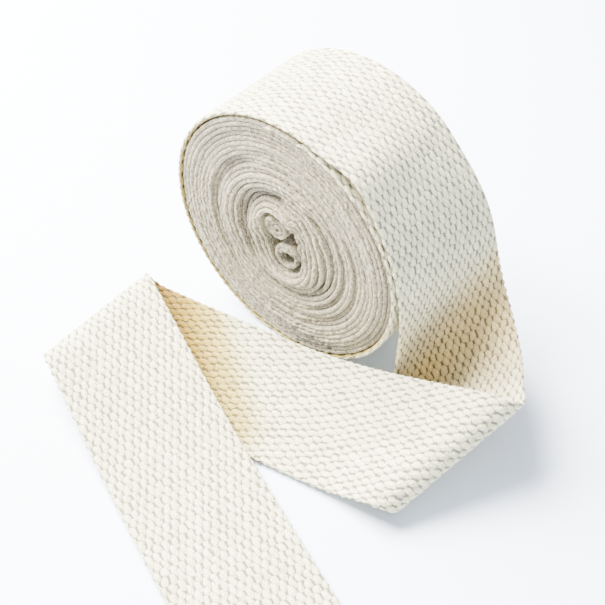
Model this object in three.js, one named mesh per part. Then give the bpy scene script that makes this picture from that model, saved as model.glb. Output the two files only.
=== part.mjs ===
// A roll of cotton webbing that stands on its rim, with its loose end thrown back over itself.
// Millimetres, +Z up. It is worked out with the roll's axis along Y above x = 0, the near end of
// the roll at y = 0 facing -Y and the floor at z = 0, then moved so that its origin is the middle
// of its box on the floor. Angles on the roll run from +X towards +Z, as seen from the near side.

import * as THREE from 'three';

// Driving sizes of the webbing and of the roll
const webbingWidth = 50;
const webbingThickness = 1.8;
const rollRadius = 54.7;           // over the outermost turn, where it parts from the roll
const touchGap = 0.3;              // space left between the parted turn and the face it parts from
const turnPitch = 3.0;             // thickness of the outermost turn with the slack under it
const restFlatDrop = 0.3;          // how far the roll's rim is flattened where it stands
const rollSteps = 90;              // sides of the roll
const endRings = 12;               // rings of faces on each end of the roll

// Where the outermost turn parts from the roll and becomes the loose end, and the soft bow by
// which that end first stands off the roll. Angles are degrees on the roll.
const partingAngle = 80;
const bow = { from: 72, to: 44, height: 3.2 };

// The hole that the folded start of the webbing leaves at the middle of the roll
const startHole = { x: 1.4, z: -7.3, halfWidth: 2.3, halfHeight: 3.0 };

// Hollows and humps on the two ends of the roll, each along a band of turns that slid sideways, so
// what is pushed in at the near end stands out at the far end. radius and halfWidth are in mm, from
// and to are degrees on the roll, slide is towards the far end.
const slidTurns = [
  { what: 'upper lobe of the folded start', radius: 12.5, halfWidth: 5, from: 60, to: 190, slide: -1.7 },
  { what: 'turns around the lower lobe', radius: 17.5, halfWidth: 3.5, from: -110, to: 40, slide: -1.3 },
  { what: 'inner pushed-in turns', radius: 20, halfWidth: 4, from: 90, to: 225, slide: 1.9 },
  { what: 'outer pushed-in turns', radius: 34.5, halfWidth: 3.5, from: 115, to: 230, slide: 1.6 },
  { what: 'right-hand pushed-in turns', radius: 29, halfWidth: 4, from: -60, to: 45, slide: 1.2 },
];
const reliefFade = 25;             // degrees over which a hollow or hump fades out at its ends

// The loose end is a strip that bends about straight lines across it. at is the length along its
// middle from the roll's right-hand side (mm), bend is how much it turns there (degrees for each
// 10 mm, plus is towards its outer face), lean is how far the bend line turns from square across.
const bends = [
  { at: -80, bend: -10.7, lean: 0 },
  { at: -50, bend: -10.7, lean: 0 },
  { at: -45, bend: -4.5, lean: -6 },
  { at: -21, bend: -12.5, lean: 23 },
  { at: -11, bend: -13, lean: 10 },
  { at: 2, bend: -10, lean: -9 },
  { at: 14, bend: -1, lean: -25 },
  { at: 28, bend: 36, lean: -40 },
  { at: 43, bend: 35, lean: -23 },
  { at: 60, bend: 4.5, lean: -3 },
  { at: 72, bend: -7, lean: -13 },
  { at: 80, bend: -5, lean: -24 },
  { at: 93, bend: 104, lean: -30 },
  { at: 110, bend: 0.5, lean: -28 },
  { at: 145, bend: -7.5, lean: 20 },
  { at: 187, bend: 1, lean: 38 },
  { at: 212, bend: -1, lean: 8 },
  { at: 240, bend: 0, lean: -16 },
  { at: 251, bend: -120, lean: -16 },
  { at: 270, bend: 0, lean: -20 },
  { at: 288, bend: 0, lean: -14 },
  { at: 318, bend: 3, lean: 4 },
  { at: 365, bend: 1, lean: 33 },
  { at: 380, bend: 0, lean: 40 },
  { at: 430, bend: 0, lean: 0 },
  { at: 440, bend: 0, lean: 0 },
];
const looseEndStop = 430;          // the square cut end, counted as at is
const walkStep = 0.5;
const stationTurn = 8;             // most degrees between two cross lines of the solid
const stationRun = 6;              // most mm between two cross lines of the solid
const acrossSteps = 4;             // strips of faces across the webbing
const settleHeight = 0.5;          // cloth this near to the floor lies flat on it

const { degToRad, radToDeg, mapLinear, smoothstep } = THREE.MathUtils;
const middleRadius = rollRadius - webbingThickness / 2;
const underside = 270;             // degrees on the roll where it meets the floor
const axisHeight = rollOutline(underside) - restFlatDrop;

// Radius of the wound turns. It falls by one turn all the way around from the parting line.
function rollOutline(degrees) {
  return rollRadius - turnPitch * (degrees - partingAngle) / 360;
}

// Slide of one band of turns at a place on the end of the roll
function bandSlide(band, x, z) {
  const across = (Math.hypot(x, z) - band.radius) / band.halfWidth;
  if (Math.abs(across) >= 1) {
    return 0;
  }
  const middle = (band.from + band.to) / 2;
  const halfSpan = (band.to - band.from) / 2;
  const degrees = radToDeg(Math.atan2(z, x));
  const off = Math.abs(((degrees - middle + 540) % 360) - 180);
  const fade = 1 - smoothstep(off, halfSpan - reliefFade / 2, halfSpan + reliefFade / 2);
  return band.slide * fade * Math.cos(across * Math.PI / 2) ** 2;
}

function turnSlide(x, z) {
  return slidTurns.reduce((sum, band) => sum + bandSlide(band, x, z), 0);
}

// Rings of points from the start hole to the outline. Only the outermost has one point more, at
// the foot of the step that the parted turn leaves.
function rollRings() {
  const rings = [];
  for (let ring = 0; ring <= endRings; ring += 1) {
    const outward = ring / endRings;
    const last = ring === endRings ? rollSteps : rollSteps - 1;
    const points = [];
    for (let step = 0; step <= last; step += 1) {
      const degrees = partingAngle + 360 * step / rollSteps;
      const angle = degToRad(degrees);
      const holeX = startHole.x + startHole.halfWidth * Math.cos(angle);
      const holeZ = startHole.z + startHole.halfHeight * Math.sin(angle);
      const radius = rollOutline(degrees);
      const rimX = radius * Math.cos(angle);
      const rimZ = Math.max(radius * Math.sin(angle), -axisHeight);
      points.push([
        THREE.MathUtils.lerp(holeX, rimX, outward),
        THREE.MathUtils.lerp(holeZ, rimZ, outward),
      ]);
    }
    rings.push(points);
  }
  return rings;
}

function closedGeometry(positions, triangles) {
  const geometry = new THREE.BufferGeometry();
  geometry.setAttribute('position', new THREE.Float32BufferAttribute(positions, 3));
  geometry.setIndex(triangles);
  geometry.computeVertexNormals();
  return geometry;
}

// All the wound turns as one solid: a spiral outline with a step, a hole and two uneven ends
function woundRoll() {
  const rings = rollRings();
  const positions = [];
  const triangles = [];
  const addEnd = (plane) => rings.map((points) => points.map(([x, z]) => {
    positions.push(x, plane + turnSlide(x, z), z + axisHeight);
    return positions.length / 3 - 1;
  }));
  const near = addEnd(0);
  const far = addEnd(webbingWidth);
  const quad = (a, b, c, d) => triangles.push(a, b, c, a, c, d);
  for (let ring = 0; ring < endRings; ring += 1) {
    const outermost = ring === endRings - 1;
    for (let step = 0; step < rollSteps; step += 1) {
      const next = (step + 1) % rollSteps;
      const rimNext = outermost ? step + 1 : next;
      quad(near[ring][step], near[ring + 1][step], near[ring + 1][rimNext], near[ring][next]);
      quad(far[ring][step], far[ring][next], far[ring + 1][rimNext], far[ring + 1][step]);
    }
  }
  const rimNear = near[endRings];
  const rimFar = far[endRings];
  triangles.push(near[endRings - 1][0], rimNear[rollSteps], rimNear[0]);
  triangles.push(far[endRings - 1][0], rimFar[0], rimFar[rollSteps]);
  for (let step = 0; step <= rollSteps; step += 1) {
    const next = (step + 1) % (rollSteps + 1);
    quad(rimNear[step], rimFar[step], rimFar[next], rimNear[next]);
  }
  for (let step = 0; step < rollSteps; step += 1) {
    const next = (step + 1) % rollSteps;
    quad(near[0][step], near[0][next], far[0][next], far[0][step]);
  }
  return closedGeometry(positions, triangles);
}

// One column of the bend table, read at a length along the strip
function readBends(column, at) {
  const after = bends.findIndex((row) => row.at >= at);
  const a = bends[after - 1];
  const b = bends[after];
  return mapLinear(at, a.at, b.at, a[column], b[column]);
}

// How far the soft bow stands off the roll
function bowHeight(degrees) {
  const along = (bow.from - degrees) / (bow.from - bow.to);
  return along > 0 && along < 1 ? bow.height * Math.sin(Math.PI * along) ** 2 : 0;
}

// Cross lines of the loose end: each has its middle, its direction and the outer face's normal
function walkLooseEnd() {
  const start = degToRad(partingAngle) - touchGap / middleRadius;
  const along = new THREE.Vector3(Math.sin(start), 0, -Math.cos(start));
  const across = new THREE.Vector3(0, 1, 0);
  const outward = new THREE.Vector3(Math.cos(start), 0, Math.sin(start));
  const middle = new THREE.Vector3(0, webbingWidth / 2, axisHeight).addScaledVector(outward, middleRadius);
  const bendLine = new THREE.Vector3();
  const lines = [];
  let at = -middleRadius * start;
  let turned = stationTurn;
  let run = 0;
  while (at < looseEndStop + walkStep) {
    const lean = Math.tan(degToRad(readBends('lean', at)));
    bendLine.copy(across).addScaledVector(along, lean);
    if (turned >= stationTurn || run >= stationRun || at >= looseEndStop) {
      lines.push({
        middle: middle.clone().addScaledVector(outward, bowHeight(radToDeg(-at / middleRadius))),
        rule: bendLine.clone(),
        outward: outward.clone(),
      });
      turned = 0;
      run = 0;
    }
    const turn = -degToRad(readBends('bend', at + walkStep / 2)) / 10 * walkStep * bendLine.length();
    bendLine.normalize();
    middle.addScaledVector(along, walkStep / 2);
    [along, across, outward].forEach((axis) => axis.applyAxisAngle(bendLine, turn));
    middle.addScaledVector(along, walkStep / 2);
    turned += radToDeg(Math.abs(turn));
    run += walkStep;
    at += walkStep;
  }
  return lines;
}

// How far cloth drops whose lowest side is this high: all the way when it is near the floor
function settledDrop(lowest) {
  return lowest < settleHeight ? lowest : Math.max(0, 2 * settleHeight - lowest);
}

// The loose end as one solid strip along its cross lines
function looseEnd() {
  const lines = walkLooseEnd();
  const positions = [];
  const triangles = [];
  const half = webbingThickness / 2;
  const rows = lines.map(({ middle, rule, outward }) => {
    const row = { outer: [], inner: [] };
    for (let strip = 0; strip <= acrossSteps; strip += 1) {
      const place = webbingWidth * (strip / acrossSteps - 0.5);
      const point = middle.clone().addScaledVector(rule, place);
      point.z -= settledDrop(point.z - half * Math.abs(outward.z));
      for (const [side, sign] of [['outer', 1], ['inner', -1]]) {
        const skin = point.clone().addScaledVector(outward, sign * half);
        row[side].push(positions.length / 3);
        positions.push(skin.x, skin.y, skin.z);
      }
    }
    return row;
  });
  const quad = (a, b, c, d) => triangles.push(a, b, c, a, c, d);
  const first = rows[0];
  const last = rows[rows.length - 1];
  for (let strip = 0; strip < acrossSteps; strip += 1) {
    const next = strip + 1;
    for (let line = 1; line < rows.length; line += 1) {
      const a = rows[line - 1];
      const b = rows[line];
      quad(a.outer[strip], b.outer[strip], b.outer[next], a.outer[next]);
      quad(a.inner[strip], a.inner[next], b.inner[next], b.inner[strip]);
    }
    quad(first.outer[strip], first.outer[next], first.inner[next], first.inner[strip]);
    quad(last.outer[strip], last.inner[strip], last.inner[next], last.outer[next]);
  }
  for (let line = 1; line < rows.length; line += 1) {
    const a = rows[line - 1];
    const b = rows[line];
    quad(a.outer[0], a.inner[0], b.inner[0], b.outer[0]);
    quad(a.outer[acrossSteps], b.outer[acrossSteps], b.inner[acrossSteps], a.inner[acrossSteps]);
  }
  return closedGeometry(positions, triangles);
}

// The end of the roll shows greyer edges than the face of the webbing
const woundCloth = new THREE.MeshStandardMaterial({ color: 0xcfc1ae, roughness: 0.95, metalness: 0 });
const webbingCloth = new THREE.MeshStandardMaterial({ color: 0xe4d9c6, roughness: 0.9, metalness: 0 });

const webbing = new THREE.Group();
const roll = new THREE.Mesh(woundRoll(), woundCloth);
roll.name = 'wound_roll';
const tail = new THREE.Mesh(looseEnd(), webbingCloth);
tail.name = 'loose_end';
webbing.add(roll, tail);

// The origin is the middle of the box, on the floor
const middleOfBox = new THREE.Box3().setFromObject(webbing).getCenter(new THREE.Vector3());
for (const piece of [roll, tail]) {
  piece.position.set(-middleOfBox.x, -middleOfBox.y, 0);
}

export default webbing;
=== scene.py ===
"""The looks of a roll of cotton webbing whose loose end is thrown back over itself.

The webbing is one long strip. Its middle line is worked out first, with three directions at each
place on it: along the strip, across it, and outward from the face that shows on the roll. The
outermost turn and the loose end are carried along that line as closed strips, with the weave
raised on their faces. The turns under them are strips seen edgewise, wound from the middle of the
roll outwards. Lengths are in millimetres until a mesh is made.
"""

import bpy
import numpy as np
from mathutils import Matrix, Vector

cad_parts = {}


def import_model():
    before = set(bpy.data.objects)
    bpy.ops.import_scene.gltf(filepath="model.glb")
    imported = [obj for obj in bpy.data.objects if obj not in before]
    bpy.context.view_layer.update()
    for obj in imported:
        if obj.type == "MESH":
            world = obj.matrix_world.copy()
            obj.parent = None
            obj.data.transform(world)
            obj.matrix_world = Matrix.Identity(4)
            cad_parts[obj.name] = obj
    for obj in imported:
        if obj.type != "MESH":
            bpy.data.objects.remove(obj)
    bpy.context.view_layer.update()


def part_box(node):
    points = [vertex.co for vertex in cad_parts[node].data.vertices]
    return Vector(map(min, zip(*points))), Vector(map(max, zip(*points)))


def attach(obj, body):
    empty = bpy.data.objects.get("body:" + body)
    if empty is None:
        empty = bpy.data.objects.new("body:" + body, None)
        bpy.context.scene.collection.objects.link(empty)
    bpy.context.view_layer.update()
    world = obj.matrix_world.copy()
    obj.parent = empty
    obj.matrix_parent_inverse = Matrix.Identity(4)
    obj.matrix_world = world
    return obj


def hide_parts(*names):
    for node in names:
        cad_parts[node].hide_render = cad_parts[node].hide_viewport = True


MM = 0.001

# The webbing and the roll, as the solids have them
WIDTH = 50.0
THICKNESS = 1.8
ROLL_RADIUS = 54.7
OUTER_TURN_PITCH = 3.0
REST_FLAT_DROP = 0.3
PARTING_DEG = 80.0
UNDERSIDE_DEG = 270.0

# The outermost turn starts this far before the parting line, the loose end takes over from it at
# the seam, and the loose end is cut at the stop, counted from the roll's right-hand side
OUTER_TURN_LENGTH = 345.0
SEAM_PAST_PARTING_DEG = 70.0
LOOSE_END_STOP = 430.0

# Lower than this the strip is laid on the floor, and elsewhere it stays twice this above it
SETTLE_HEIGHT = 0.5

# The bow in which the near edge stands off the roll: from and to in degrees on it, and its height
BOW_FROM_DEG, BOW_TO_DEG, BOW_HEIGHT = 74.0, 36.0, 3.4

# The stretch of the strip where short bends are eased, the fade at its ends and the reach of the
# running mean
EASE_FROM, EASE_TO, EASE_FADE, EASE_REACH = -34.0, 36.0, 18.0, 30.0

# Warm light in the valley at the first fold: its middle on the strip and its half width, how
# strong it is halfway across, and how much is added at the near edge and lost at the far one
VALLEY_MIDDLE, VALLEY_HALF_WIDTH = 38.0, 24.0
VALLEY_SHADE, VALLEY_SHADE_TILT = 0.80, 0.12

# Shade beside the free end, counted in bounces of light: the stretch that lies under it, the
# stretch of the free end's edge that covers it, the shade's reach and depth at the second fold,
# and how much of the two is lost at the far end of that edge
WEDGE_FROM, WEDGE_TO = 160.0, 258.0
COVERING_FROM, COVERING_TO = 251.0, 325.0
WEDGE_REACH, WEDGE_REACH_LOSS = 38.0, 0.5
WEDGE_SHADE, WEDGE_SHADE_LOSS = 3.0, 1.8

# Shade on the inner face against the roll, and where on the strip it ends
BURIED_SHADE, BURIED_TO = 1.5, 75.0

# How the loose end bends about straight lines across it: the length along its middle from the
# roll's right-hand side, degrees of turn for each 10 mm, and degrees that the bend line leans
BENDS = (
    (-80, -10.7, 0),
    (-50, -10.7, 0),
    (-45, -4.5, -6),
    (-21, -12.5, 23),
    (-11, -13, 10),
    (2, -10, -9),
    (14, -1, -25),
    (28, 36, -40),
    (43, 35, -23),
    (60, 4.5, -3),
    (72, -7, -13),
    (80, -5, -24),
    (93, 104, -30),
    (110, 0.5, -28),
    (145, -7.5, 20),
    (187, 1, 38),
    (212, -1, 8),
    (240, 0, -16),
    (251, -120, -16),
    (270, 0, -20),
    (288, 0, -14),
    (318, 3, 4),
    (365, 1, 33),
    (380, 0, 40),
    (430, 0, 0),
    (500, 0, 0),
)

# The plain weave: floats of the warp stand in rows, each row one pick out of step with the next
PICK = 3.29
ROWS = 32
ROW_PITCH = WIDTH / ROWS
FLOAT_HEIGHT = 0.45
GROUND = THICKNESS / 2 - FLOAT_HEIGHT
FLOAT_HALF_LENGTH, FLOAT_HALF_WIDTH = 0.72, 0.84
SELVEDGE_REACH, SELVEDGE_LOOP = 0.45, 0.3
STEPS_PER_PICK = 4
STEPS_PER_ROW = 2

# The UV map counts picks along the strip and rows across it, ten of each to one unit
UV_SCALE = 10.0

# The two small coils of the folded start: x and z from the roll's axis, radius, radius of the
# hole in it, turns, and degrees where it starts
COILS = (
    (-3.2, 4.6, 6.0, 0.0, 2.3, 200),
    (1.4, -7.5, 6.6, 2.5, 1.4, 150),
)

# A pocket beside the first coil, as x, z and radius, and the middle of the oval round them all
POCKET = (4.0, 6.0, 1.8)
OVAL_CENTRE = (0.0, -1.8)
DISCS_BETWEEN_COILS = 9

# The main winding: the air between two turns, more of it in the loose core, and the outer turns
# that are slack, each drawn in again over its last degrees
WOUND_TURNS = 20
WOUND_GAP = 0.04
ROUND_AFTER_TURNS = 7
LOOSE_CORE_GAP = 0.21
SLACK_TURNS, SLACK = 5, 0.5
SETTLE_DEG = 25.0

# The roll's flat lifts only what lies this far below its axis or farther
FLAT_FADES_BELOW_AXIS = 25.0

# The step of the wound turns' cross lines, and how finely a turn is worked out before that
WOUND_STEP = PICK / 3
FINE_PLACES = 2000

# A turn's selvedge: half its thickness, how deep its rounding is and the steps round it, and how
# far the weft's loops and single yarns stand out
EDGE_HALF, EDGE_ROUNDING, EDGE_STEPS = 0.87, 0.6, 9
EDGE_LOOP, EDGE_FRAY = 0.22, 0.3

# Slow waves in the turns' edges: height, length over 2 pi, and phase
EDGE_WAVES = (
    (0.2, 23.0, 0.0),
    (0.2, 61.0, 1.3),
    (0.1, 9.7, 0.0),
)

# Hollows and humps on the ends of the roll: radius and half width in mm, from and to in degrees,
# and depth in mm towards the far end, negative where the turns stand out at the near end
END_RELIEF = (
    (12.5, 5, 60, 190, -1.7),
    (17.5, 3.5, -110, 40, -1.3),
    (9, 5, -70, 30, 1.0),
    (20, 4, 90, 225, 1.9),
    (34.5, 3.5, 115, 230, 1.6),
    (27, 4, 60, 200, -0.7),
    (24, 2.2, -115, 55, 1.6),
    (29, 1.6, -60, 45, 1.2),
    (35, 1.6, -70, 30, 1.0),
    (49, 2.0, -40, 60, 1.1),
    (42, 5, -100, 60, -0.6),
)
RELIEF_FADE_DEG = 25.0

# Painted shade on the turns' edges by depth in mm: the cotton's pale colour above the first and a
# dark shade below the second, with some drift, so that the turns set back look shaded. Between the
# turns more depth is added, from a distance behind the selvedge, as painted shade in the cracks.
EDGE_SHADE_SPAN = (-1.6, 3.4)
EDGE_DRIFT_DEPTH = (-0.5, 0.5)
BETWEEN_FROM, BETWEEN_FADE, BETWEEN_DEPTH = 0.9, 2.0, 3.6

# Colours of the cotton, with painted shade for the gaps between floats and for the turns' edges
# in the hollows, and the tints of light that has come off more of it
FLOAT_COLOUR = (0.72, 0.68, 0.44, 1)
# Painted shade in the gaps between the floats, much darker than the cotton itself
PAINTED_GAP_SHADE = (0.18, 0.17, 0.125, 1)
WARM_TINT = (1.0, 0.70, 0.34)
SHELTER_TINT = (0.60, 0.50, 0.22)
BOUNCES = 3
PALE_EDGE_COLOUR = (0.46, 0.393, 0.252, 1)
# Painted shade for the turns' edges that lie deep in the hollows and between the turns
PAINTED_EDGE_SHADE = (0.10, 0.07, 0.035, 1)

# Noise in the cotton, as features a metre: two that push the floats out of place, the drift of
# tone over the faces and the edges, and the fibres of both. Specks on the edges are counted along
# and across the strip's own UV map.
PUSH_ALONG, PUSH_ACROSS, PUSH = 420, 290, 0.25
FACE_DRIFT, EDGE_DRIFT = 45, 60
FACE_FIBRE, EDGE_FIBRE = 1900, 1100
SPECKS = (18.0, 26.0, 1.0)

# The useful middle of a noise, for tones and for pushing, and of a float's height, for the
# painted shade in the gaps between floats
TONE_SPAN = (0.3, 0.7)
PUSH_SPAN = (0.25, 0.75)
GAP_SHADE_SPAN = (-0.05, 0.85)

# Darkest and palest tone that a float, the drift, a fibre, a speck and the edge's grain give
FLOAT_TONE = (0.93, 1.05)
DRIFT_TONE = (0.96, 1.04)
FIBRE_TONE = (0.76, 1.12)
SPECK_TONE = (0.6, 1.25)
GRAIN_TONE = (0.62, 1.25)

# Bump: radians of the yarn's twist for each pick and row, the heights of the twist and the fuzz
# as shares of a float's height, and the depth of the bump in metres on faces and edges
TWIST_ANGLE, TWIST_HEIGHT, FUZZ_HEIGHT = 9.0, 0.08, 0.8
FACE_BUMP, EDGE_BUMP = 0.0004, 0.0012

# Matt cotton with the soft sheen of its fuzz, more of it on the edges
FACE_ROUGHNESS, FACE_SHEEN = 0.9, 0.2
EDGE_ROUGHNESS, EDGE_SHEEN = 0.95, 0.3
SHEEN_ROUGHNESS, SPECULAR_LEVEL = 0.5, 0.15

# The studio: a pale floor and sky, and one soft box above the left of the roll, in metres
FLOOR_COLOUR, FLOOR_ROUGHNESS, FLOOR_REACH = (0.80, 0.86, 1.0, 1), 0.7, 3.0
SKY_COLOUR, SKY_STRENGTH = (0.82, 0.91, 1.0, 1), 1.9
KEY_PLACE, KEY_TARGET = (-0.48, 0.0, 0.62), (0, 0, 0.03)
KEY_SIZE, KEY_POWER, KEY_COLOUR = 0.6, 106, (1.0, 0.97, 0.91)

# The camera, in mm from the point on the floor under the axis at the roll's near end. Its focal
# length and its square frame are given in the photograph's own pixels.
CAMERA_PLACE = (215.5, -239.0, 359.3)
CAMERA_TARGET = (-7.16, 19.84, 0.0)
FOCAL_PIXELS, FRAME_PIXELS = 1200, 605
SENSOR_WIDTH = 36


def smooth_step(value, low, high):
    """0 below low, 1 above high, and 3t^2 - 2t^3 of the share t between them."""
    share = np.clip((value - low) / (high - low), 0, 1)
    return share * share * (3 - 2 * share)


def unit(vectors):
    """The vectors at length 1."""
    return vectors / np.linalg.norm(vectors, axis=-1)[..., None]


def roll_outline(degrees):
    """Radius of the outermost wound turn: it falls by one turn's pitch all the way around."""
    return ROLL_RADIUS - OUTER_TURN_PITCH * (degrees - PARTING_DEG) / 360


AXIS_HEIGHT = roll_outline(UNDERSIDE_DEG) - REST_FLAT_DROP
MIDDLE_RADIUS = ROLL_RADIUS - THICKNESS / 2
PARTING_AT = -MIDDLE_RADIUS * np.radians(PARTING_DEG)
SEAM_AT = PARTING_AT - MIDDLE_RADIUS * np.radians(SEAM_PAST_PARTING_DEG)


def bend_values(at):
    """Turn per mm in radians and slope of the bend line, straight between the table's rows."""
    rows = np.array(BENDS, dtype=float)
    turn = np.radians(np.interp(at, rows[:, 0], rows[:, 1])) / 10
    lean = np.interp(at, rows[:, 0], rows[:, 2])
    return turn, np.tan(np.radians(lean))


def turning(vectors):
    """Rotation matrices of rotation vectors: I + sin(a) K + (1 - cos(a)) K K for an angle a about
    the unit axis whose cross matrix is K."""
    angle = np.linalg.norm(vectors, axis=1)
    axis = vectors / np.maximum(angle, 1e-12)[:, None]
    cross = np.zeros((len(vectors), 3, 3))
    cross[:, 0, 1] = -axis[:, 2]
    cross[:, 0, 2] = axis[:, 1]
    cross[:, 1, 2] = -axis[:, 0]
    cross -= cross.transpose(0, 2, 1)
    part = np.sin(angle)[:, None, None] * cross
    return np.eye(3) + part + (1 - np.cos(angle))[:, None, None] * (cross @ cross)


def running_product(turns):
    """Each matrix times all those before it, by doubling the reach of each product."""
    reach = 1
    total = turns.copy()
    while reach < len(total):
        longer = total.copy()
        longer[reach:] = total[:-reach] @ total[reach:]
        total = longer
        reach *= 2
    return total


def circle_directions(degrees):
    """Along, across and outward directions, as columns, at angles on the roll. The strip runs
    clockwise towards its loose end, seen from the near end."""
    angle = np.radians(degrees)
    zero, one = np.zeros_like(angle), np.ones_like(angle)
    along = np.stack([np.sin(angle), zero, -np.cos(angle)], -1)
    across = np.stack([zero, one, zero], -1)
    outward = np.stack([np.cos(angle), zero, np.sin(angle)], -1)
    return np.stack([along, across, outward], -1)


class MiddleLine:
    """The strip's middle line from the start of the outermost turn to the cut end, in small
    steps. Before the parting line the radius falls evenly with the angle. After it, each step
    turns the three directions about the bend line by the table's turn."""

    step = 0.25

    def __init__(self):
        before = np.arange(-OUTER_TURN_LENGTH, 0, self.step)
        pitch = OUTER_TURN_PITCH / (2 * np.pi)
        turned = (MIDDLE_RADIUS - np.sqrt(MIDDLE_RADIUS**2 + 2 * pitch * before)) / pitch
        degrees = PARTING_DEG + np.degrees(turned)
        wound_axes = circle_directions(degrees)
        radius = roll_outline(degrees) - THICKNESS / 2
        wound_middle = wound_axes[:, :, 2] * radius[:, None]

        after = np.arange(PARTING_AT, LOOSE_END_STOP + 2 * self.step, self.step)
        turn, slope = bend_values(after + self.step / 2)
        vectors = np.stack([-turn * slope, -turn, np.zeros_like(turn)], -1) * self.step
        axes = running_product(np.concatenate([circle_directions([PARTING_DEG]), turning(vectors)]))
        axes = axes[:-1]
        along = axes[:, :, 0]
        steps = (along[:-1] + along[1:]) / 2 * self.step
        start = axes[0, :, 2] * MIDDLE_RADIUS
        middle = start + np.concatenate([np.zeros((1, 3)), np.cumsum(steps, axis=0)])

        self.at = np.concatenate([PARTING_AT + before, after])
        self.middle = np.concatenate([wound_middle, middle]) + [0, WIDTH / 2, AXIS_HEIGHT]
        self.axes = np.concatenate([wound_axes, axes])
        self.slope = bend_values(self.at)[1] * (self.at >= PARTING_AT)

    def read(self, values, at):
        """One column of values for each number in at, straight between the line's steps."""
        return np.interp(at, self.at, values)

    def surface(self, at, across):
        """Middle surface of the strip, at lengths along it and places across it. A point lies on
        the bend line that starts at s on the middle line, where its length along the flat strip
        is s + place * slope(s). Returns the points, the outward directions and s."""
        start = np.empty((len(at), len(across)))
        for column, place in enumerate(across):
            reached = np.maximum.accumulate(self.at + place * self.slope)
            start[:, column] = np.interp(at, reached, self.at)
        slope = self.read(self.slope, start)
        point, outward = np.empty(start.shape + (3,)), np.empty(start.shape + (3,))
        for axis in range(3):
            along = self.read(self.axes[:, axis, 0], start)
            sideways = self.read(self.axes[:, axis, 1], start)
            middle = self.read(self.middle[:, axis], start)
            point[..., axis] = middle + across * (sideways + slope * along)
            outward[..., axis] = self.read(self.axes[:, axis, 2], start)
        return point, outward, start


def bow_lift(at, across):
    """How far the strip stands off the roll in its bow: sin^2 of the share of the way along it,
    all of it at the near edge and none at the far one."""
    share = (BOW_FROM_DEG + np.degrees(at / MIDDLE_RADIUS)) / (BOW_FROM_DEG - BOW_TO_DEG)
    lift = np.where((share > 0) & (share < 1), BOW_HEIGHT * np.sin(np.pi * share) ** 2, 0)
    return lift[:, None] * smooth_step(across, WIDTH / 2, -WIDTH / 2)


def eased(values, at, across):
    """The values blended with their running mean along the strip, where it leaves the roll and
    most at the far edge, so that its short bends there run softly into each other."""
    reach = int(EASE_REACH / (at[1] - at[0]))
    weights = np.cos(np.linspace(-np.pi / 2, np.pi / 2, 2 * reach + 1)) ** 2
    ends = [np.repeat(values[:1], reach, axis=0), values, np.repeat(values[-1:], reach, axis=0)]
    long = np.concatenate(ends)
    mean = sum(w * long[k:k + len(values)] for k, w in enumerate(weights)) / weights.sum()
    share = smooth_step(at, EASE_FROM - EASE_FADE, EASE_FROM)
    share = share * smooth_step(at, EASE_TO + EASE_FADE, EASE_TO)
    share = share[:, None] * smooth_step(across, -WIDTH / 2, WIDTH / 4)
    return values + share[..., None] * (mean - values)


def settled(height, lowest, on_floor):
    """Height of the middle surface once the strip's lowest side is laid on the floor or kept
    clear of it. A turn round the roll is only lifted where it would sink into the floor."""
    if not on_floor:
        return height + np.maximum(0, -lowest)
    raised = np.maximum(0, 2 * SETTLE_HEIGHT - lowest)
    return height + np.where(lowest < SETTLE_HEIGHT, -lowest, raised)


def valley_shade(start, across):
    """How much warm light falls on the outer face in the valley where the strip meets the floor
    and folds: exp(-d^2) of the distance d to the valley's middle, in its half widths."""
    depth = np.exp(-((start - VALLEY_MIDDLE) / VALLEY_HALF_WIDTH) ** 2)
    return depth * (VALLEY_SHADE - VALLEY_SHADE_TILT * across / (WIDTH / 2))


def inner_shade(points, at, covering):
    """How sheltered the inner face is: much against the roll, and beside the free end that lies
    over it, where it follows the distance in plan to the free end's edge and fades away from the
    fold."""
    shade = np.full(points.shape[:2], BURIED_SHADE)
    shade[at > BURIED_TO] = 0
    under = np.where((at > WEDGE_FROM) & (at < WEDGE_TO))[0]
    gap = np.linalg.norm(points[under][:, :, None, :2] - covering[:, :2], axis=-1)
    from_fold = np.argmin(gap, axis=-1) / len(covering)
    reach = WEDGE_REACH * (1 - WEDGE_REACH_LOSS * from_fold)
    depth = WEDGE_SHADE - WEDGE_SHADE_LOSS * from_fold
    shade[under] = smooth_step(np.min(gap, axis=-1) / reach, 1, 0) * depth
    return shade


def float_dome(along, across):
    """How far a warp float is up, from 0 to 1, at a place counted in picks and in rows. Floats
    stand where picks and rows add up to an even number. Each is half an ellipsoid, the square
    root of 1 - a^2 - b^2."""
    first, second = (along + across) / 2, (along - across) / 2
    first -= np.round(first)
    second -= np.round(second)
    length = (first + second) / FLOAT_HALF_LENGTH
    width = (first - second) / FLOAT_HALF_WIDTH
    return np.sqrt(np.clip(1 - length**2 - width**2, 0, 1))


def new_mesh(name, points, faces, caps, attributes, uv):
    """A mesh from points in mm, smooth but for its caps, with one number a point for each
    attribute and a UV map."""
    mesh = bpy.data.meshes.new(name)
    mesh.from_pydata(points * MM, [], faces + caps)
    for key, values in attributes.items():
        layer = mesh.attributes.new(key, "FLOAT", "POINT")
        layer.data.foreach_set("value", values.ravel().astype(np.float32))
    corner = np.empty(len(mesh.loops), dtype=np.int32)
    mesh.loops.foreach_get("vertex_index", corner)
    mesh.uv_layers.new(name="strip").data.foreach_set("uv", uv[corner].astype(np.float32).ravel())
    mesh.polygons.foreach_set("use_smooth", np.arange(len(mesh.polygons)) < len(faces))
    mesh.update()
    piece = bpy.data.objects.new(name, mesh)
    bpy.context.collection.objects.link(piece)
    return piece


def tube_faces(lines, around):
    """Quads of a tube whose cross lines each have the same number of points around."""
    line, point = np.meshgrid(np.arange(lines - 1), np.arange(around), indexing="ij")
    after = (point + 1) % around
    here, beside = line * around + point, line * around + after
    return np.stack([here, here + around, beside + around, beside], -1).reshape(-1, 4)


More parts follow.
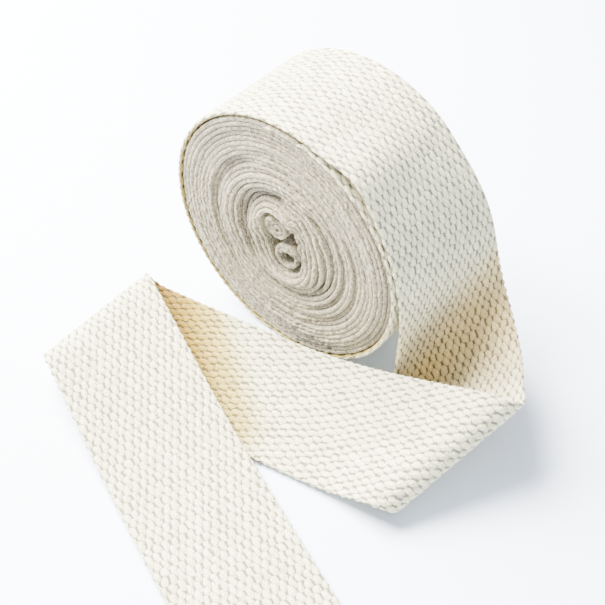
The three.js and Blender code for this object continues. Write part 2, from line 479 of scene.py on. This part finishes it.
def strip_caps(lines, columns, around):
    """Faces that close a woven strip's two ends: quads between its faces, and a triangle at each
    selvedge."""
    front = np.arange(columns - 1)
    back = around - 2 - front
    quads = np.stack([front, front + 1, back - 1, back], -1)
    rims = np.array([[columns - 1, columns, columns + 1], [around - 2, around - 1, 0]])
    last = (lines - 1) * around
    caps = quads.tolist() + (quads[:, ::-1] + last).tolist()
    return caps + rims.tolist() + (rims[:, ::-1] + last).tolist()


def ring(outer, far, inner, near):
    """Columns in the order in which they run around a strip: the outer face, the far selvedge,
    the inner face back again, and the near selvedge."""
    return np.concatenate([outer, far, inner[:, ::-1], near], axis=1)


def woven_strip(name, line, begin, end, place_shift, on_floor):
    """A closed strip of webbing from begin to end along the middle line. Its faces lie a ground's
    height off the middle surface, and the floats' domes stand on them. The inner face has its
    floats where the outer one has gaps."""
    step = PICK / STEPS_PER_PICK
    at = np.arange(round(begin / step), round(end / step) + 1) * step
    across = np.linspace(-WIDTH / 2, WIDTH / 2, ROWS * STEPS_PER_ROW + 1)
    middle, outward, start = line.surface(at, across)
    middle += outward * bow_lift(at, across)[..., None]
    middle, outward = eased(middle, at, across), unit(eased(outward, at, across))
    lowest = middle[..., 2] - THICKNESS / 2 * np.abs(outward[..., 2])
    middle[..., 2] = settled(middle[..., 2], lowest, on_floor)

    pick, row = np.meshgrid(at / PICK, (across + WIDTH / 2) / ROW_PITCH - 0.5, indexing="ij")
    outer_dome, inner_dome = float_dome(pick, row), float_dome(pick + 1, row)
    outer = middle + outward * (GROUND + FLOAT_HEIGHT * outer_dome)[..., None]
    inner = middle - outward * (GROUND + FLOAT_HEIGHT * inner_dome)[..., None]
    selvedge = (SELVEDGE_REACH + SELVEDGE_LOOP * np.cos(2 * np.pi * at / PICK))[:, None]
    far = middle[:, -1] + selvedge * unit(middle[:, -1] - middle[:, -2])
    near = middle[:, 0] + selvedge * unit(middle[:, 0] - middle[:, 1])
    points = ring(outer, far[:, None], inner, near[:, None])

    covering = line.surface(np.arange(COVERING_FROM, COVERING_TO), across[-1:])[0][:, 0]
    valley, sheltered = valley_shade(start, across), inner_shade(inner, at, covering)
    none = np.zeros_like(valley)
    warm = ring(valley, valley[:, -1:], none, valley[:, :1])
    shelter = ring(none, none[:, -1:], sheltered, none[:, :1])

    rows = ring(row, row[:, -1:] + 0.5, row, row[:, :1] - 0.5)
    picks = ring(pick, pick[:, -1:], pick + 1, pick[:, :1])
    uv = np.stack([picks.ravel(), rows.ravel()], -1) / UV_SCALE
    around = points.shape[1]
    faces = tube_faces(len(at), around).tolist()
    caps = strip_caps(len(at), len(across), around)
    attributes = {"warm": warm, "shelter": shelter}
    piece = new_mesh(name, points.reshape(-1, 3) + place_shift, faces, caps, attributes, uv)
    return piece, float(at[-1] - at[0])


def even_steps(points, step):
    """The same line with places an even step apart."""
    run = np.concatenate([[0], np.cumsum(np.linalg.norm(np.diff(points, axis=0), axis=1))])
    even = np.arange(0, run[-1], step)
    return np.stack([np.interp(even, run, points[:, k]) for k in range(2)], -1)


def coil_line(x, z, coil_radius, hole_radius, turns, start_degrees):
    """A small coil: its radius grows evenly with the angle, clockwise from the near end."""
    inner, outer = hole_radius + THICKNESS / 2, coil_radius - THICKNESS / 2
    turned = np.linspace(0, turns, FINE_PLACES)
    radius = inner + (outer - inner) * turned / turns
    angle = np.radians(start_degrees - 360 * turned)
    place = np.stack([np.cos(angle), np.sin(angle)], -1)
    return even_steps((x, z) + radius[:, None] * place, WOUND_STEP)


def core_reach(angle):
    """How far the middle of the roll reaches from its oval centre: the farthest point, along each
    direction, of the round discs of the two coils, those between them, and the pocket."""
    share = np.linspace(0, 1, DISCS_BETWEEN_COILS)[:, None]
    first, second = np.array(COILS)[:, :3]
    discs = first * (1 - share) + second * share
    discs = np.concatenate([discs, [POCKET]])
    centre = discs[:, :2] - OVAL_CENTRE
    way = np.stack([np.cos(angle), np.sin(angle)], -1)
    ahead = way @ centre.T
    beside = np.sum(centre**2, axis=1) - ahead**2
    inside = np.clip(discs[:, 2] ** 2 - beside, 0, None)
    return np.max(ahead + np.sqrt(inside), axis=1)


def wound_line():
    """The main winding from the core to the start of the outermost turn, seen from the near end.
    Its radius is a blend of the core's outline grown by one thickness a turn and of a circle. The
    last turns swell in turn, so that each lies against the slack turn around it."""
    turn = np.linspace(0, WOUND_TURNS, WOUND_TURNS * FINE_PLACES)
    angle = np.radians(PARTING_DEG - 360 * (turn - WOUND_TURNS))
    last_radius = roll_outline(PARTING_DEG + 360) - THICKNESS / 2
    pitch = THICKNESS + WOUND_GAP
    circle = last_radius - pitch * (WOUND_TURNS - turn)
    circle -= LOOSE_CORE_GAP * np.maximum(0, ROUND_AFTER_TURNS - turn)
    oval = core_reach(angle) + THICKNESS / 2 + pitch * turn
    share = smooth_step(turn, 0, ROUND_AFTER_TURNS)
    from_outside = WOUND_TURNS - turn
    whole = np.floor(from_outside)
    part = from_outside - whole
    swell = SLACK * np.maximum(0, 1 - whole / SLACK_TURNS) * (1 - part)
    swell *= smooth_step(part, 0, SETTLE_DEG / 360)
    radius = oval * (1 - share) + circle * share + swell
    centre = np.array(OVAL_CENTRE) * (1 - share)[:, None]
    way = np.stack([np.cos(angle), np.sin(angle)], -1)
    return even_steps(centre + radius[:, None] * way, WOUND_STEP)


def end_depth(x, z):
    """Depth of the hollows and humps: each is a cosine squared across its turns, faded at its
    two ends."""
    radius, degrees = np.hypot(x, z), np.degrees(np.arctan2(z, x))
    depth = np.zeros_like(x)
    for middle, half_width, begin, end, deep in END_RELIEF:
        across = np.clip((radius - middle) / half_width, -1, 1)
        off = np.abs((degrees - (begin + end) / 2 + 540) % 360 - 180)
        half_span = (end - begin) / 2
        fade = smooth_step(off, half_span + RELIEF_FADE_DEG / 2, half_span - RELIEF_FADE_DEG / 2)
        depth += deep * fade * np.cos(across * np.pi / 2) ** 2
    return depth


def selvedge_profile():
    """Half round at both ends and straight between: places across the thickness, places along
    the roll's axis, and how far each takes part in the selvedge loops, out at the near end."""
    turn = np.linspace(-np.pi / 2, np.pi / 2, EDGE_STEPS)
    near_thick = EDGE_HALF * np.sin(turn)
    near_deep = EDGE_ROUNDING - EDGE_ROUNDING * np.cos(turn)
    thick = np.concatenate([near_thick, near_thick[::-1]])
    deep = np.concatenate([near_deep, WIDTH - near_deep[::-1]])
    edge = np.concatenate([-np.cos(turn), np.cos(turn)])
    return thick, deep, edge


def edgewise_rings(line, at, profile):
    """Rings of a strip seen edgewise: the profile stands at right angles to the line at each
    step. The turn's edge follows the hollows and humps, slow waves, the weft's loops and single
    yarns that fray. The roll's flat on the floor lifts the lowest turns a little. Returns the
    rings and the depth of the turn's edge."""
    along = unit(np.gradient(line, axis=0))
    outward = np.stack([-along[:, 1], along[:, 0]], -1)
    depth = end_depth(line[:, 0], line[:, 1])
    depth += sum(height * np.sin(at / length + phase) for height, length, phase in EDGE_WAVES)
    yarns = np.random.default_rng(5).normal(0, EDGE_FRAY, len(line))
    fray = np.convolve(yarns, [0.25, 0.5, 0.25], "same")
    loop = EDGE_LOOP * np.cos(2 * np.pi * at / PICK) + fray
    thick, deep, edge = profile
    rings = np.empty((len(line), len(thick), 3))
    rings[..., 0] = line[:, :1] + outward[:, :1] * thick
    rings[..., 2] = line[:, 1:] + outward[:, 1:] * thick
    rings[..., 1] = deep + depth[:, None] + loop[:, None] * edge
    floor_line = np.sqrt(np.maximum(roll_outline(UNDERSIDE_DEG) ** 2 - rings[..., 0] ** 2, 0))
    fade = smooth_step(rings[..., 2], -FLAT_FADES_BELOW_AXIS, -AXIS_HEIGHT)
    rings[..., 2] += np.maximum(floor_line - AXIS_HEIGHT, 0) * fade + AXIS_HEIGHT
    return rings, depth


def wound_turns(name, place_shift):
    """All the turns under the outermost one and the two coils of the folded start, each a closed
    strip with round selvedges, joined in one mesh."""
    profile = selvedge_profile()
    around = len(profile[0])
    lines = [coil_line(*coil) for coil in COILS] + [wound_line()]
    arc = np.concatenate([[0], np.cumsum(np.hypot(np.diff(profile[0]), np.diff(profile[1])))])
    arc = np.where(np.arange(around) < around / 2, arc, WIDTH * 2 - arc)
    from_edge = np.minimum(profile[1], WIDTH - profile[1])
    # Depth added between the turns, for the painted shade in the cracks between them
    between = BETWEEN_DEPTH * np.clip((from_edge - BETWEEN_FROM) / BETWEEN_FADE, 0, 1)
    side = np.arange(around // 2 - 1)
    cap = np.stack([side, side + 1, around - 2 - side, around - 1 - side], -1)
    points, uvs, hollows, faces, caps = [], [], [], [], []
    count, length = 0, 0.0
    for line in lines:
        at = np.arange(len(line)) * WOUND_STEP
        rings, depth = edgewise_rings(line, at, profile)
        last = count + (len(line) - 1) * around
        faces += (tube_faces(len(line), around) + count).tolist()
        caps += (cap + count).tolist() + (cap[:, ::-1] + last).tolist()
        points.append(rings.reshape(-1, 3))
        uv_at, uv_arc = np.meshgrid(at / PICK, arc / ROW_PITCH, indexing="ij")
        uvs.append(np.stack([uv_at.ravel(), uv_arc.ravel()], -1) / UV_SCALE)
        # The depth that the edge material turns into painted shade
        hollows.append((depth[:, None] + between).ravel())
        count += len(line) * around
        length += float(at[-1])
    points, uv = np.concatenate(points) + place_shift, np.concatenate(uvs)
    piece = new_mesh(name, points, faces, caps, {"hollow_shade": np.concatenate(hollows)}, uv)
    return piece, length


class Recipe:
    """A material's nodes, added one after another. An input is a number, a colour or the output
    of an earlier node."""

    def __init__(self, name, roughness, sheen):
        self.material = bpy.data.materials.new(name)
        self.material.use_nodes = True
        self.tree = self.material.node_tree
        self.skin = self.tree.nodes["Principled BSDF"]
        self.skin.inputs["Roughness"].default_value = roughness
        self.skin.inputs["Sheen Weight"].default_value = sheen
        self.skin.inputs["Sheen Roughness"].default_value = SHEEN_ROUGHNESS
        self.skin.inputs["Specular IOR Level"].default_value = SPECULAR_LEVEL

    def join(self, value, socket):
        """Give a socket a number or a colour, or link an earlier node's output to it."""
        if isinstance(value, bpy.types.NodeSocket):
            self.tree.links.new(value, socket)
        else:
            socket.default_value = value

    def add(self, kind, inputs, output=0, **settings):
        """A new node of a kind with its settings and inputs. Returns one of its outputs."""
        made = self.tree.nodes.new("ShaderNode" + kind)
        for key, value in settings.items():
            setattr(made, key, value)
        for key, value in inputs.items():
            self.join(value, made.inputs[key])
        made.location = (len(self.tree.nodes) * 180, 0)
        return made.outputs[output]

    def parts(self, vector):
        """The first two numbers of a vector."""
        made = self.tree.nodes.new("ShaderNodeSeparateXYZ")
        self.join(vector, made.inputs[0])
        return made.outputs[0], made.outputs[1]

    def math(self, operation, first, second=0.0):
        """One sum, product or the like of numbers."""
        return self.add("Math", {0: first, 1: second}, operation=operation)

    def ramp(self, value, low, high, to_low=0.0, to_high=1.0):
        """A value from low to high brought smoothly to another range, and held at its ends."""
        limits = {"Value": value, "From Min": low, "From Max": high}
        limits.update({"To Min": to_low, "To Max": to_high})
        return self.add("MapRange", limits, interpolation_type="SMOOTHSTEP")

    def mix(self, share, first, second):
        """A colour between two colours."""
        names = {"Factor_Float": share, "A_Color": first, "B_Color": second}
        made = self.tree.nodes.new("ShaderNodeMix")
        made.data_type = "RGBA"
        for socket in made.inputs:
            if socket.identifier in names:
                self.join(names[socket.identifier], socket)
        return next(out for out in made.outputs if out.identifier == "Result_Color")

    def noise(self, vector, scale, detail):
        """Cloudy noise about one half, finer with a larger scale and rougher with more detail."""
        return self.add("TexNoise", {"Vector": vector, "Scale": scale, "Detail": detail})

    def tone(self, noise, tones):
        """The useful middle of a noise brought to a darkest and a palest tone."""
        return self.ramp(noise, *TONE_SPAN, *tones)

    def push(self, noise):
        """A noise brought to a small step either way."""
        return self.ramp(noise, *PUSH_SPAN, -PUSH, PUSH)

    def shade(self, colour, amount):
        """A colour made darker or paler by one number."""
        return self.add("VectorMath", {0: colour, "Scale": amount}, operation="SCALE")

    def tinted(self, share, colour, tint):
        """A colour, of which a share is multiplied by a tint."""
        whole = self.add("VectorMath", {0: colour, 1: tint}, operation="MULTIPLY")
        return self.mix(share, colour, whole)

    def finish(self, colour, height, distance):
        """The finished material, with its colour and its bump."""
        bumps = {"Height": height, "Distance": distance, "Strength": 1.0}
        self.tree.links.new(self.add("Bump", bumps), self.skin.inputs["Normal"])
        self.tree.links.new(colour, self.skin.inputs["Base Color"])
        return self.material


def woven_cotton(name):
    """Unbleached cotton in plain weave. The floats' domes follow float_dome on the strip's own UV
    map, pushed about by noise, and each float has its own tone. The attribute warm tints it once
    and the attribute shelter once for each bounce of light, as far as its number reaches. Fine
    fibres and the yarn's twist are bump."""
    cloth = Recipe(name, FACE_ROUGHNESS, FACE_SHEEN)
    place = cloth.add("TexCoord", {}, "Object")
    strip = cloth.add("UVMap", {}, uv_map="strip")
    push_along = cloth.push(cloth.noise(place, PUSH_ALONG, 1))
    push_across = cloth.push(cloth.noise(place, PUSH_ACROSS, 1))
    strip_along, strip_across = cloth.parts(strip)
    pick = cloth.math("ADD", cloth.math("MULTIPLY", strip_along, UV_SCALE), push_along)
    row = cloth.math("ADD", cloth.math("MULTIPLY", strip_across, UV_SCALE), push_across)
    first = cloth.math("MULTIPLY", cloth.math("ADD", pick, row), 0.5)
    second = cloth.math("MULTIPLY", cloth.math("SUBTRACT", pick, row), 0.5)
    first_cell, second_cell = cloth.math("ROUND", first), cloth.math("ROUND", second)
    first = cloth.math("SUBTRACT", first, first_cell)
    second = cloth.math("SUBTRACT", second, second_cell)
    along = cloth.math("ADD", first, second)
    across = cloth.math("SUBTRACT", first, second)
    length = cloth.math("DIVIDE", along, FLOAT_HALF_LENGTH)
    width = cloth.math("DIVIDE", across, FLOAT_HALF_WIDTH)
    left = cloth.math("SUBTRACT", 1.0, cloth.math("MULTIPLY", length, length))
    left = cloth.math("SUBTRACT", left, cloth.math("MULTIPLY", width, width))
    dome = cloth.math("SQRT", cloth.math("MAXIMUM", left, 0.0))

    cell = cloth.add("CombineXYZ", {0: first_cell, 1: second_cell})
    own = cloth.add("TexWhiteNoise", {"Vector": cell}, "Value", noise_dimensions="3D")
    drift = cloth.noise(place, FACE_DRIFT, 3)
    fibre = cloth.noise(place, FACE_FIBRE, 3)
    tone = cloth.math("MULTIPLY", cloth.ramp(own, 0.0, 1.0, *FLOAT_TONE), cloth.tone(drift, DRIFT_TONE))
    tone = cloth.math("MULTIPLY", tone, cloth.tone(fibre, FIBRE_TONE))
    # Painted shade: the colour darkens from the float's colour to the gap shade where the dome is low
    colour = cloth.mix(cloth.ramp(dome, *GAP_SHADE_SPAN), PAINTED_GAP_SHADE, FLOAT_COLOUR)
    colour = cloth.shade(colour, tone)
    warm = cloth.add("Attribute", {}, "Fac", attribute_name="warm")
    colour = cloth.tinted(warm, colour, WARM_TINT)
    shelter = cloth.add("Attribute", {}, "Fac", attribute_name="shelter")
    for bounce in range(BOUNCES):
        colour = cloth.tinted(cloth.math("SUBTRACT", shelter, float(bounce)), colour, SHELTER_TINT)

    twist_phase = cloth.math("MULTIPLY", cloth.math("ADD", along, across), TWIST_ANGLE)
    twist = cloth.math("MULTIPLY", cloth.math("SINE", twist_phase), TWIST_HEIGHT)
    fuzz = cloth.math("MULTIPLY", fibre, FUZZ_HEIGHT)
    height = cloth.math("ADD", cloth.math("ADD", dome, twist), fuzz)
    return cloth.finish(colour, height, FACE_BUMP)


def edge_cotton(name):
    """Cotton seen at its selvedges, with painted shade: pale on the turns that stand proud, darkened
    in the hollows and between the turns by the attribute hollow, with specks of yarn drawn out along
    each turn and a rough, hairy surface."""
    cloth = Recipe(name, EDGE_ROUGHNESS, EDGE_SHEEN)
    place = cloth.add("TexCoord", {}, "Object")
    strip = cloth.add("UVMap", {}, uv_map="strip")
    hollow_shade = cloth.add("Attribute", {}, "Fac", attribute_name="hollow_shade")
    drawn = cloth.add("Mapping", {"Vector": strip, "Scale": SPECKS})
    specks = cloth.noise(drawn, 1.0, 3)
    grain = cloth.noise(place, EDGE_FIBRE, 3)
    drift = cloth.tone(cloth.noise(place, EDGE_DRIFT, 3), EDGE_DRIFT_DEPTH)
    depth = cloth.math("ADD", hollow_shade, drift)
    # Painted shade: the deeper the turn's edge, the darker its colour
    shade_share = cloth.ramp(depth, *EDGE_SHADE_SPAN)
    colour = cloth.mix(shade_share, PALE_EDGE_COLOUR, PAINTED_EDGE_SHADE)
    tone = cloth.math("MULTIPLY", cloth.tone(specks, SPECK_TONE), cloth.tone(grain, GRAIN_TONE))
    colour = cloth.shade(colour, tone)
    height = cloth.math("ADD", specks, grain)
    return cloth.finish(colour, height, EDGE_BUMP)


def pale_floor():
    """A wide plain floor under the roll, far past the camera's view."""
    low, high = -FLOOR_REACH, FLOOR_REACH
    corners = [(low, low, 0), (high, low, 0), (high, high, 0), (low, high, 0)]
    mesh = bpy.data.meshes.new("floor")
    mesh.from_pydata(corners, [], [(0, 1, 2, 3)])
    floor = bpy.data.objects.new("floor", mesh)
    bpy.context.collection.objects.link(floor)
    material = bpy.data.materials.new("pale floor")
    material.use_nodes = True
    skin = material.node_tree.nodes["Principled BSDF"]
    skin.inputs["Base Color"].default_value = FLOOR_COLOUR
    skin.inputs["Roughness"].default_value = FLOOR_ROUGHNESS
    mesh.materials.append(material)


def studio_sky():
    """Even light from all around."""
    world = bpy.data.worlds.new("studio")
    bpy.context.scene.world = world
    world.use_nodes = True
    background = world.node_tree.nodes["Background"]
    background.inputs["Color"].default_value = SKY_COLOUR
    background.inputs["Strength"].default_value = SKY_STRENGTH


def soft_box(name, place, target, size, power, colour):
    """A square soft box at a place, turned to a target."""
    data = bpy.data.lights.new(name, "AREA")
    data.size = size
    data.energy = power
    data.color = colour
    light = bpy.data.objects.new(name, data)
    light.location = place
    light.rotation_euler = (Vector(target) - Vector(place)).to_track_quat("-Z", "Y").to_euler()
    bpy.context.collection.objects.link(light)


def photo_camera(shift):
    """The camera at the photograph's place."""
    place, target = np.array(CAMERA_PLACE), np.array(CAMERA_TARGET)
    data = bpy.data.cameras.new("camera")
    data.sensor_width = SENSOR_WIDTH
    data.lens = SENSOR_WIDTH * FOCAL_PIXELS / FRAME_PIXELS
    camera = bpy.data.objects.new("camera", data)
    camera.location = Vector((place + shift) * MM)
    aim = Vector((target - place) * MM)
    camera.rotation_euler = aim.to_track_quat("-Z", "Y").to_euler()
    bpy.context.collection.objects.link(camera)
    bpy.context.scene.camera = camera


def main():
    """The three strips in their cloth, the studio and the camera, round the loaded frame."""
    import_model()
    # The strips are worked out from the roll's axis and near end, and its solid says where they are
    near_corner, far_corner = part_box("wound_roll")
    roll_right = roll_outline(360.0)
    near_end = near_corner[1] / MM - min(row[-1] for row in END_RELIEF)
    shift = np.array([far_corner[0] / MM - roll_right, near_end, 0.0])

    line = MiddleLine()
    loose, loose_length = woven_strip("loose_webbing", line, SEAM_AT, LOOSE_END_STOP, shift, on_floor=True)
    turn, turn_length = woven_strip("outer_turn", line, line.at[0], SEAM_AT, shift, on_floor=False)
    wound, wound_length = wound_turns("wound_turns", shift)

    face_cloth = woven_cotton("cotton face")
    edge_cloth = edge_cotton("cotton selvedges")
    for piece in (loose, turn):
        piece.data.materials.append(face_cloth)
    wound.data.materials.append(edge_cloth)
    for piece in (loose, turn, wound):
        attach(piece, "root")
    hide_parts("loose_end")
    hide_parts("wound_roll")

    pale_floor()
    studio_sky()
    soft_box("key", KEY_PLACE, KEY_TARGET, KEY_SIZE, KEY_POWER, KEY_COLOUR)
    photo_camera(shift)


main()
